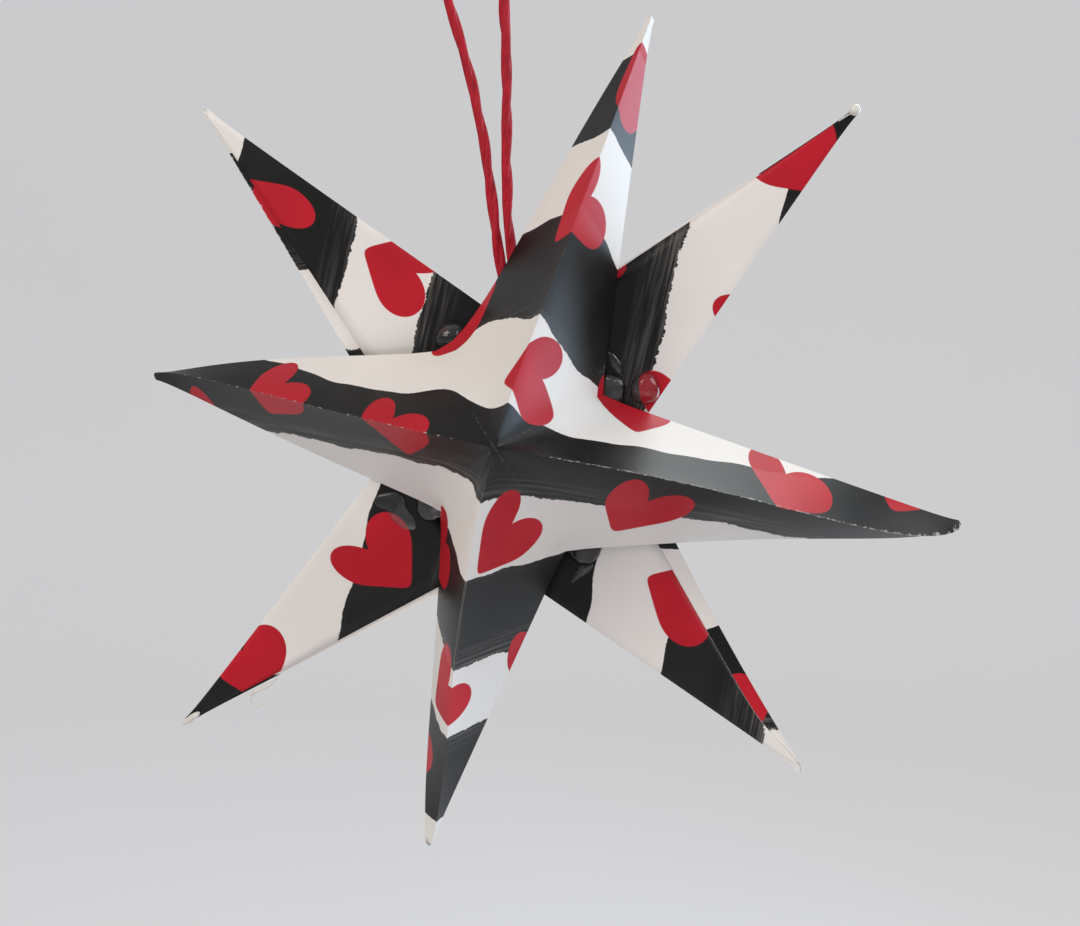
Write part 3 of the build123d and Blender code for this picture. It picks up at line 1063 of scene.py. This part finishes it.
@dataclass
class YarnLoop:
    """Loop of soft yarn, from the glue behind the top point, over the top and back."""

    name: str = "yarn_loop"
    node: str = "hanging_loop"
    diameter: float = 2.3
    plies: int = 3
    pitch: float = 34.0
    ply_offset: float = 0.19
    ply_radius: float = 0.33
    ply_turns: float = 1.5
    pitch_wave: Wave = Wave(0.6, 9.0, 2.0)
    offset_wave: Wave = Wave(0.14, 6.1, 2.1)
    radius_wave: Wave = Wave(0.08, 4.3, 1.7)
    threads: int = 6
    thread_rise: float = 0.055
    ring: int = 30
    spacing: float = 0.5
    map_length: float = 100.0
    map_shift: float = 0.37
    map_turn: float = 1.3
    route: tuple[Point, ...] = (
        (9.2, -0.3, -92.6),
        (6.55, -0.2, -75.6),
        (4.1, 0.1, -54.0),
        (0.0, 0.2, -36.0),
        (-4.6, 0.1, -21.8),
        (-7.9, 0.0, -11.5),
        (-7.73, 0.0, -3.38),
        (-3.2, 0.0, 1.15),
        (3.2, 0.0, 1.15),
        (7.73, 0.0, -3.38),
        (8.8, 0.0, -11.7),
        (8.05, 0.1, -23.0),
        (8.8, 0.2, -38.0),
        (8.6, 0.1, -55.0),
        (8.95, 0.0, -75.0),
        (11.8, -0.1, -92.6),
    )

    def centreline(self) -> np.ndarray:
        """Evenly spaced points of the smooth curve that the route's points control.

        Returns:
            The points, in millimetres.
        """
        curve = bpy.data.curves.new("yarn_route", "CURVE")
        curve.dimensions = "3D"
        spline = curve.splines.new("NURBS")
        spline.points.add(len(self.route) - 1)
        corners = np.column_stack([np.array(self.route) * MM, np.ones(len(self.route))])
        spline.points.foreach_set("co", corners.astype(np.float32).ravel())
        spline.order_u = 3
        spline.use_endpoint_u = True
        spline.resolution_u = 24
        holder = bpy.data.objects.new("yarn_route", curve)
        bpy.context.scene.collection.objects.link(holder)
        mesh = bpy.data.meshes.new_from_object(holder)
        line = np.empty(3 * len(mesh.vertices))
        mesh.vertices.foreach_get("co", line)
        line = line.reshape(-1, 3) / MM
        bpy.data.objects.remove(holder)
        bpy.data.curves.remove(curve)
        bpy.data.meshes.remove(mesh)
        run = lengths(line)
        even = np.linspace(0.0, run[-1], int(run[-1] / self.spacing) + 1)
        return np.stack([np.interp(even, run, line[:, axis]) for axis in range(3)], axis=1)

    def ply(self, number: int, line: np.ndarray, run: np.ndarray) -> tuple[np.ndarray, np.ndarray]:
        """Points of one ply and its map.

        Ply j lies at a turn of 2 pi (s / pitch + j / plies) round the line, at length s. It is a tube
        whose turn, offset and thickness waver a little along it, with a fine ridge for each thread.

        Args:
            number: The ply's number.
            line: The yarn's centreline.
            run: Length along it.

        Returns:
            Rings of points, and the map's places with each ring closed.
        """
        side, other = square_to(line)
        turn = math.tau * (run / self.pitch + number / self.plies) + self.pitch_wave.measure(run, number)
        out = self.ply_offset * self.diameter * (1.0 + self.offset_wave.measure(run, number))
        centre = line + out[:, None] * spokes(turn, side, other)
        around = np.linspace(0, math.tau, self.ring, endpoint=False)
        swirl = around[None, :] + self.ply_turns * turn[:, None]
        swell = self.ply_radius * self.diameter * (1.0 + self.radius_wave.measure(run, number))
        thread = 1.0 + self.thread_rise * np.abs(np.sin(self.threads * around / 2.0))
        radius = (swell[:, None] * thread[None, :])[..., None]
        ring = radius * spokes(swirl, side[:, None], other[:, None])
        along = run / self.map_length + self.map_shift * number
        share = np.arange(self.ring + 1) / self.ring + self.map_turn * number
        return centre[:, None, :] + ring, np.stack(np.meshgrid(along, share, indexing="ij"), axis=2)

    def build(self, finish: Finish) -> Piece:
        """Winds the plies round the centreline into one piece.

        Args:
            finish: The yarn's material.

        Returns:
            The yarn.
        """
        line = self.centreline()
        run = lengths(line)
        tube_walls, tube_caps = tube_faces(len(line), self.ring)
        places, walls, caps, wall_maps, cap_maps = [], [], [], [], []
        for number in range(self.plies):
            tube, grid = self.ply(number, line, run)
            start = number * len(line) * self.ring
            places.append(tube.reshape(-1, 3))
            walls.append(tube_walls + start)
            caps.append(tube_caps + start)
            corners = np.stack([grid[:-1, 1:], grid[1:, 1:], grid[1:, :-1], grid[:-1, :-1]], axis=2)
            wall_maps.append(corners.reshape(-1, 2))
            cap_maps.append(np.full((2 * self.ring, 2), self.map_shift * number))
        yarn = mesh_object(self.name, np.concatenate(places), walls + caps)
        strand = yarn.data.uv_layers.new(name="strand")
        strand.data.foreach_set("uv", np.concatenate(wall_maps + cap_maps).astype(np.float32).ravel())
        shade(yarn, crease=60.0)
        yarn.data.materials.append(finish)
        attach(yarn, BODY)
        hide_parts(self.node)
        return yarn


@dataclass(frozen=True)
class Dab:
    """A dab of glue: its foot, the way it faces, its radius, height, drawn-out side and lobes (mm)."""

    foot: Point
    facing: Point
    radius: float
    height: float
    drawn: Point = (0.0, 0.0, 0.0)
    lobes: float = 0.12
    lobe_shift: float = 2.3
    slope: float = 2.4
    rounding: float = 0.62
    top_share: float = 0.02
    foot_share: float = 0.1

    def dome(self, number: int, rings: int, ring: int) -> np.ndarray:
        """Points of a dome, from its top down to the rim and in under it.

        With r from 0 to 1 and the turn a, the radius is R r (1 + lobes (sin 2a + sin 3a) / 2) and the
        height H (1 - r^slope)^rounding. A last ring at a small share of the radius closes the foot.

        Args:
            number: Sets the phase of the lobes.
            rings: Number of rings.
            ring: Number of points in a ring.

        Returns:
            Points, ring after ring.
        """
        facing = unit(np.array(self.facing))
        side = unit(np.cross(facing, np.array([0.0, 0.0, 1.0])))
        upward = np.cross(side, facing)
        share = np.concatenate([np.linspace(self.top_share, 1.0, rings - 1), [self.foot_share]])
        height = self.height * (1.0 - share[:-1] ** self.slope) ** self.rounding
        height = np.concatenate([height, [0.0]])
        turn = np.linspace(0, math.tau, ring, endpoint=False)
        waves = np.sin(2 * turn + number) + np.sin(3 * turn + self.lobe_shift * number)
        uneven = 1.0 + self.lobes * 0.5 * waves
        radius = self.radius * share[:, None] * uneven[None, :]
        flat = radius[..., None] * spokes(turn, side, upward)
        drawn = np.array(self.drawn)
        stretch = np.maximum(0.0, flat @ unit(drawn)) / self.radius
        return np.array(self.foot) + flat + height[:, None, None] * facing + stretch[..., None] * drawn


@dataclass(frozen=True)
class Thread:
    """A string or bead of glue: its course, its thickness (mm) and how fast its ends swell."""

    course: tuple[Point, ...]
    radius: float
    ends: float = 0.3
    end_share: float = 0.004

    def tube(self, ring: int) -> np.ndarray:
        """Rings round the smoothed course, of radius R (4 s (1 - s))^ends at a share s of the way.

        Args:
            ring: Number of points in a ring.

        Returns:
            Points, ring after ring.
        """
        line = smooth_path(np.array(self.course))
        side, other = square_to(line)
        run = lengths(line)
        share = np.clip(run / run[-1], self.end_share, 1.0 - self.end_share)
        radius = self.radius * (4.0 * share * (1.0 - share)) ** self.ends
        turn = np.linspace(0, math.tau, ring, endpoint=False)
        return line[:, None, :] + radius[:, None, None] * spokes(turn, side[:, None], other[:, None])


@dataclass
class GlueWork:
    """Glue of one place: uneven domes with flat feet, and strings and beads drawn from the nozzle."""

    name: str
    node: str
    dabs: tuple[Dab, ...]
    threads: tuple[Thread, ...] = ()
    rings: int = 18
    ring: int = 48
    thread_ring: int = 14

    def build(self, clear: Finish, milky: Finish) -> Piece:
        """Makes the glue as one piece.

        Args:
            clear: Finish of the domes.
            milky: Finish of the strings and beads.

        Returns:
            The piece.
        """
        shells = [dab.dome(number, self.rings, self.ring) for number, dab in enumerate(self.dabs)]
        shells += [thread.tube(self.thread_ring) for thread in self.threads]
        faces, finishes, start = [], [], 0
        for number, shell in enumerate(shells):
            walls, caps = tube_faces(*shell.shape[:2])
            faces += [walls + start, caps + start]
            finishes += [int(number >= len(self.dabs))] * (len(walls) + len(caps))
            start += shell.shape[0] * shell.shape[1]
        piece = mesh_object(self.name, np.concatenate([shell.reshape(-1, 3) for shell in shells]), faces)
        shade(piece, crease=50.0)
        piece.data.materials.append(clear)
        piece.data.materials.append(milky)
        piece.data.polygons.foreach_set("material_index", finishes)
        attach(piece, BODY)
        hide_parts(self.node)
        return piece


@dataclass(frozen=True)
class Lamp:
    """A soft rectangular lamp that faces the ornament (metres, watts), seen in gloss or not."""

    name: str
    place: Point
    size: Pair
    power: float
    colour: tuple[float, float, float]
    reflected: bool = True


@dataclass
class Studio:
    """Camera, soft lamps, pale sweep and pale surroundings."""

    azimuth: float = 8.81
    elevation: float = 2.25
    eye: Point = (0.053215, -0.239516, -0.114247)
    lens: float = 36.67
    middle: Point = (0.012, 0.0, -0.12)
    floor_level: float = -0.62
    surroundings: Colour = (0.62, 0.615, 0.655, 1.0)
    surroundings_strength: float = 0.62
    lamps: tuple[Lamp, ...] = (
        Lamp("window_lamp", (0.62, -0.20, 0.30), (0.45, 0.45), 2.6, (0.97, 0.98, 1.0)),
        Lamp("sheen_lamp", (0.66, 0.44, -0.10), (0.34, 0.75), 5.0, (0.60, 0.80, 1.0)),
        Lamp("band_lamp", (0.33, 0.55, 0.44), (0.50, 0.30), 2.2, (0.90, 0.97, 0.97)),
        Lamp("warm_lamp", (-0.42, -0.46, 0.34), (0.45, 0.45), 2.8, (1.0, 0.92, 0.80)),
        Lamp("front_lamp", (0.08, -0.62, -0.48), (0.5, 0.3), 1.7, (1.0, 0.96, 1.0), reflected=False),
    )

    def camera(self) -> None:
        """Puts the camera where the photograph was taken from."""
        data = bpy.data.cameras.new("camera")
        data.lens = self.lens
        data.sensor_width = 36.0
        data.clip_start = 0.01
        data.clip_end = 20.0
        camera = bpy.data.objects.new("camera", data)
        bpy.context.scene.collection.objects.link(camera)
        turn, rise = math.radians(self.azimuth), math.radians(self.elevation)
        level = math.cos(rise)
        back = Vector((math.sin(turn) * level, -math.cos(turn) * level, math.sin(rise)))
        camera.location = self.eye
        camera.rotation_mode = "QUATERNION"
        camera.rotation_quaternion = (-back).to_track_quat("-Z", "Y")
        bpy.context.scene.camera = camera

    def light(self) -> None:
        """Adds the lamps and the pale surroundings."""
        for lamp in self.lamps:
            data = bpy.data.lights.new(lamp.name, "AREA")
            data.shape = "RECTANGLE"
            data.size, data.size_y = lamp.size
            data.energy = lamp.power
            data.color = lamp.colour
            holder = bpy.data.objects.new(lamp.name, data)
            bpy.context.scene.collection.objects.link(holder)
            holder.location = lamp.place
            holder.visible_camera = False
            holder.visible_glossy = lamp.reflected
            aim = Vector(self.middle) - Vector(lamp.place)
            holder.rotation_mode = "QUATERNION"
            holder.rotation_quaternion = aim.to_track_quat("-Z", "Y")
        world = bpy.data.worlds.new("surroundings")
        world.use_nodes = True
        background = world.node_tree.nodes["Background"]
        background.inputs["Color"].default_value = self.surroundings
        background.inputs["Strength"].default_value = self.surroundings_strength
        bpy.context.scene.world = world

    def floor(self, finish: Finish) -> None:
        """Adds the floor that sweeps up far behind: a line, a quarter circle and a line, carried across.

        Args:
            finish: The floor's material.
        """
        front, bend, radius, top, half_width, steps = -3.0, 1.6, 0.9, 4.0, 5.0, 25
        turn = np.linspace(0, math.pi / 2, steps)
        reach = np.concatenate([[front], bend + radius * np.sin(turn), [bend + radius]])
        level = np.concatenate([[0.0], radius * (1 - np.cos(turn)), [top]]) + self.floor_level
        wide, reach = np.meshgrid([-half_width, half_width], reach)
        places = np.stack([wide, reach, np.column_stack([level, level])], axis=2).reshape(-1, 3)
        floor = mesh_object("pale_floor", places / MM, [grid_faces(len(level), 2)[:, ::-1]])
        shade(floor, crease=60.0)
        floor.data.materials.append(finish)


FRONT_PRINT = SheetPrint(
    StripeCourse.FIRST_DIAGONAL,
    stripes=(
        Stripe(76.5, 97.4, 0.10, 0.04),
        Stripe(31.5, 57.0, 0.22, 0.03),
        Stripe(-12.0, 10.2, 0.40, 0.0),
        Stripe(-53.7, -30.6, 0.45, 0.12),
        Stripe(-97.4, -72.2, 0.06, 0.35),
    ),
    drifts=(
        Drift((-19.5, 13.0), (7.0, 6.0), -6.5),
        Drift((-70.0, 13.0), (15.0, 6.0), -2.5),
        Drift((-20.0, 33.0), (9.0, 8.0), -3.5),
        Drift((12.0, 30.0), (14.0, 8.0), 2.5),
        Drift((-30.0, 68.0), (14.0, 18.0), -1.3),
        Drift((30.0, 68.0), (14.0, 18.0), 1.5),
        Drift((60.0, -2.0), (18.0, 15.0), -1.3),
    ),
    hearts=(
        Heart(-66.6, -6.3, 62.0),
        Heart(-28.0, -10.4, 85.0, 0.92),
        Heart(-92.5, -22.0, 60.0),
        Heart(-23.0, 47.5, -126.0),
        Heart(-29.6, -46.1, 61.0),
        Heart(-5.1, 15.9, 20.0),
        Heart(34.4, 16.2, 85.0),
        Heart(60.8, -0.8, 60.0),
        Heart(90.0, 3.6, 50.0),
        Heart(36.4, -21.2, 91.0),
        Heart(3.0, -30.4, 58.0, 1.0),
        Heart(-1.0, 100.0, -45.0, 1.08),
        Heart(-5.5, 49.2, 59.0),
        Heart(-9.8, -70.0, 57.0),
        Heart(24.5, -69.5, 88.0),
        Heart(-17.0, -96.0, 85.0),
        Heart(50.0, 44.0, -30.0),
        Heart(18.0, 80.0, 10.0),
        Heart(-62.0, 42.0, -20.0),
        Heart(-40.0, 64.0, 80.0),
        Heart(-58.0, -52.0, 60.0),
        Heart(70.0, -32.0, -60.0),
        Heart(46.0, -60.0, 30.0),
    ),
)

BACK_PRINT = SheetPrint(
    StripeCourse.SECOND_DIAGONAL,
    stripes=(
        Stripe(71.3, 100.0, 0.40, 0.04),
        Stripe(29.0, 52.4, 0.06, 0.45),
        Stripe(-10.0, 8.8, 0.04, 0.15),
        Stripe(-52.4, -28.6, 0.03, 0.50),
        Stripe(-93.5, -70.5, 0.60, 0.02),
    ),
    drifts=(Drift((-62.0, 22.0), (14.0, 8.0), 1.6), Drift((11.0, -95.0), (7.0, 8.0), -5.0)),
    hearts=(
        Heart(100.0, 12.7, 148.5),
        Heart(68.6, 21.2, 172.0),
        Heart(-1.5, 91.3, 148.0),
        Heart(0.3, 59.7, 150.0),
        Heart(-15.6, 32.4, 118.7),
        Heart(-59.8, 67.6, -16.5),
        Heart(-63.2, -34.1, 168.0),
        Heart(-85.0, 2.6, 112.8, 0.62),
        Heart(42.6, -61.5, 158.0),
        Heart(17.0, -97.7, 131.0),
        Heart(86.3, -4.6, -69.0),
        Heart(26.0, 4.0, 60.0),
        Heart(-4.0, 16.0, 95.0),
        Heart(-40.0, 0.0, 60.0),
        Heart(-12.0, -20.0, 120.0),
        Heart(18.0, -36.0, 40.0),
        Heart(58.0, -6.0, 100.0),
        Heart(8.0, -72.0, 100.0),
    ),
)

FRONT_STAR = FoldedStar(
    name="front_paper_star",
    node="front_star",
    peak=(13.0, -36.5, -119.5),
    valleys=((29.6, -0.2, -109.1), (-6.2, -4.0, -99.4), (-6.1, 0.0, -134.5), (22.0, -2.5, -142.6)),
    points=(
        StarPoint((106.0, 4.6, -136.4), 0.0, ridge=(Bow((0.0, 0.0, -4.2), 0.84, 3.5),),
                  under_hinge=Bow((0.0, 0.0, -2.0), 0.86, 5.0), ridge_wear_and_highlight=1.0),
        StarPoint((40.1, 2.8, -27.0), 0.9, ridge=(Bow((-0.6, 0.0, 0.0), 0.18),),
                  over_hinge=Bow((2.8, 0.0, -0.6), 0.17), ridge_wear_and_highlight=0.1),
        StarPoint((-76.7, 3.7, -103.9), -5.2, ridge=(Bow((0.0, 0.0, 1.8), 0.85),),
                  over_hinge=Bow((0.0, 0.0, -0.6), 0.5), under_hinge=Bow((0.0, 0.0, 1.5), 0.62),
                  ridge_wear_and_highlight=0.75),
        StarPoint((-10.6, 4.6, -212.8), -0.5,
                  ridge=(Bow((-1.4, 0.0, 0.0), 0.33), Bow((1.0, 0.0, 0.0), 0.9)),
                  under_hinge=Bow((-1.3, 0.0, 0.0), 0.8), ridge_wear_and_highlight=0.4),
    ),
    sheet_print=FRONT_PRINT,
)

BACK_STAR = FoldedStar(
    name="back_paper_star",
    node="back_star",
    peak=(9.0, 36.8, -120.0),
    valleys=((11.2, 2.1, -94.7), (34.9, 2.5, -119.8), (6.2, 3.0, -146.5), (-16.4, 2.1, -119.1)),
    points=(
        StarPoint((-58.9, -5.8, -45.0), 3.8, reach=75.3, over_wear=0.4, under_wear=1.0),
        StarPoint((83.3, -0.1, -49.4), 3.3, reach=76.2),
        StarPoint((72.8, -3.6, -188.5), -3.3, reach=79.5, inset=2.6,
                  under_hinge=Bow((-0.9, 0.0, -0.3), 0.55), under_wear=0.5),
        StarPoint((-68.1, 0.1, -185.1), 1.4, reach=76.3),
    ),
    sheet_print=BACK_PRINT,
)

STAR_GLUE = GlueWork(
    name="star_glue",
    node="glue_dabs",
    dabs=(
        Dab((30.8, 1.9, -107.7), (-0.013, -1.0, -0.029), 4.0, 1.7),
        Dab((-3.6, 1.0, -96.2), (0.061, -0.996, -0.069), 4.0, 4.6),
        Dab((-8.6, 2.1, -133.5), (0.039, -0.999, -0.001), 4.0, 2.0),
        Dab((25.9, 1.6, -142.6), (-0.068, -0.996, 0.054), 4.0, 3.9),
        Dab((39.0, 1.8, -107.5), (-0.013, -1.0, -0.028), 3.4, 2.2, lobes=0.08),
        Dab((31.6, 1.7, -100.4), (-0.013, -1.0, -0.028), 1.2, 0.9, drawn=(1.9, 0.0, -2.7), lobes=0.3),
        Dab((-18.2, 1.74, -133.6), (0.039, -0.999, 0.0), 3.2, 0.6, drawn=(2.0, 0.0, -1.2), lobes=0.5),
        Dab((26.4, 1.4, -146.2), (-0.066, -0.996, 0.052), 1.3, 0.5, drawn=(-2.4, 0.0, -3.2), lobes=0.3),
    ),
    threads=(
        Thread(((81.4, -0.6, -50.4), (82.6, -0.6, -49.8), (83.6, -0.4, -49.3)), 1.15, 0.5),
        Thread(((79.2, -0.4, -52.0), (80.6, -0.6, -51.1), (82.2, -0.6, -50.2)), 0.16),
        Thread(((-68.6, -0.3, -185.5), (-66.4, -0.4, -184.0), (-64.3, -0.2, -182.5)), 0.8, 0.45),
        Thread((
            (-45.4, 0.3, -173.8), (-47.0, 0.3, -175.4), (-49.2, 0.2, -176.6), (-51.2, 0.1, -177.3),
            (-51.9, 0.1, -178.8), (-51.2, 0.1, -180.3), (-50.0, 0.1, -180.8), (-49.0, 0.1, -179.7),
        ), 0.4),
    ),
)

LOOP_GLUE = GlueWork(
    name="yarn_glue",
    node="loop_glue",
    dabs=(Dab((10.6, -1.5, -91.4), (-0.106, 0.994, -0.023), 4.3, 3.5),),
)


def main() -> None:
    """Builds the ornament and the studio, and reports each piece."""
    logging.basicConfig(level=logging.INFO, format="%(name)s: %(message)s")
    bpy.context.scene.view_settings.view_transform = "Standard"
    studio = Studio()
    studio.camera()
    studio.light()
    studio.floor(PaleFloor().material())
    paper, plain = PrintedPaper(), PlainPaper().material()
    clear, milky = CLEAR_GLUE.material(), MILKY_GLUE.material()
    stars = (FRONT_STAR, BACK_STAR)
    pieces = [YarnLoop().build(RedYarn().material())]
    pieces += [star.build(paper.material(star.sheet_print.course), plain) for star in stars]
    pieces += [glue.build(clear, milky) for glue in (STAR_GLUE, LOOP_GLUE)]
    for piece in pieces:
        log.info("%s: %d faces", piece.name, len(piece.data.polygons))


if __name__ == "__main__":
    main()
